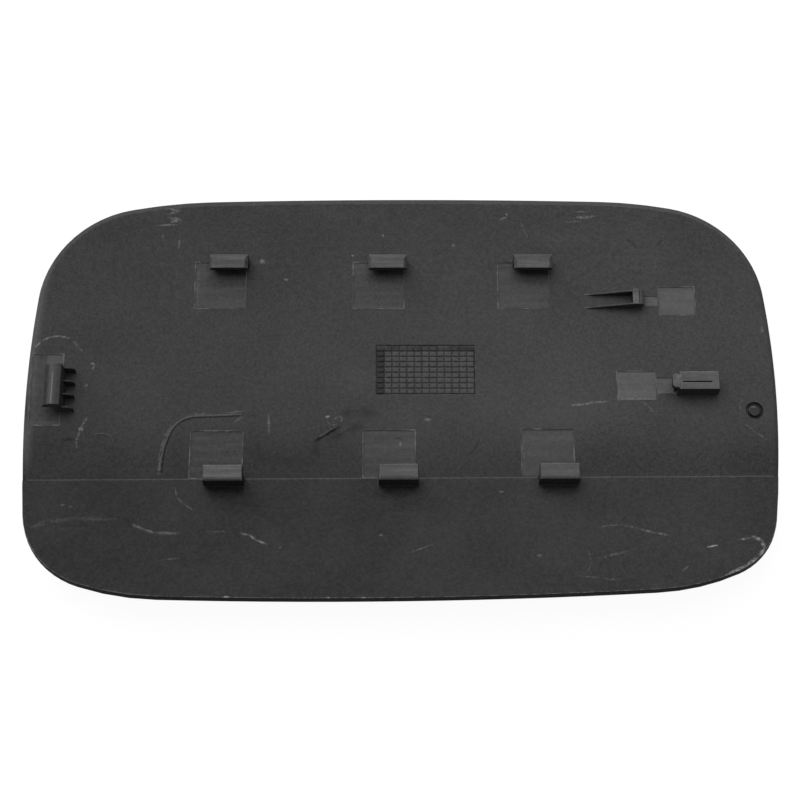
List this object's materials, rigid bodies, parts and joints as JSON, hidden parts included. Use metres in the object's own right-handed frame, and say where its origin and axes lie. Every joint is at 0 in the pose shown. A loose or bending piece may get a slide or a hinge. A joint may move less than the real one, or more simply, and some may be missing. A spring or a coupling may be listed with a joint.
{
  "type": "fuel flap",
  "caption": "Curved moulded fuel filler flap with a creased lower strip, shown inner side up, with clip hooks, snap catches, lifter marks and a date grid.",
  "frame": {"origin": "middle of the panel's outline, on the plane that the outer skin lies on", "axes": "+X along the vehicle towards the slotted block, +Y up the body side away from the creased strip, +Z out of the inner face"},
  "size_m": [0.1996, 0.115, 0.0143],
  "materials": {
    "moulding": "fine-grained matte black plastic, scuffed, with paler lifter marks"
  },
  "bodies": {
    "root": {"flap": "moulding"}
  },
  "joints": []
}
